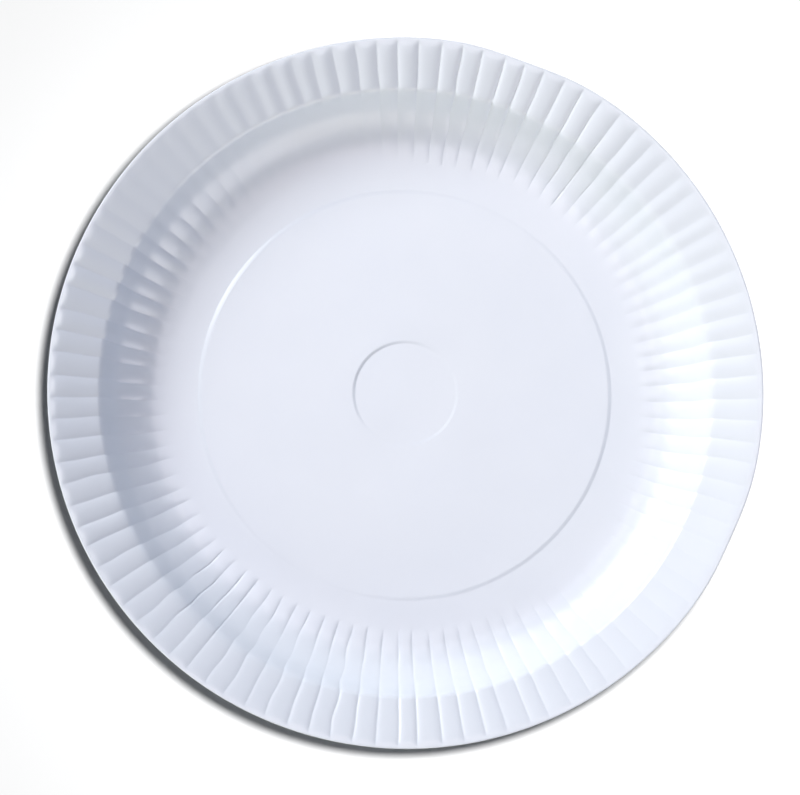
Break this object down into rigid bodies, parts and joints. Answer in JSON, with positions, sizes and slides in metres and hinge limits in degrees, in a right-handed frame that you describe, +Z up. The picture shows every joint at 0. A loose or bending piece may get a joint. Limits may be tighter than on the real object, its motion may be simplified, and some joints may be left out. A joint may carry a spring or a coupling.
{
  "type": "plastic plate",
  "caption": "Round disposable plate pressed from thin white plastic, with a flat ringed base, a steep fluted wall and a wide sloping fluted rim.",
  "frame": {"origin": "middle of the level ring that the plate stands on, on the table", "axes": "+Z up, out of the side that food goes on; X and Y are free, because the plate is round"},
  "size_m": [0.21, 0.21, 0.0185],
  "materials": {
    "white_plastic": "smooth, glossy, slightly cool white"
  },
  "bodies": {
    "root": {"plate": "white_plastic"}
  },
  "joints": []
}
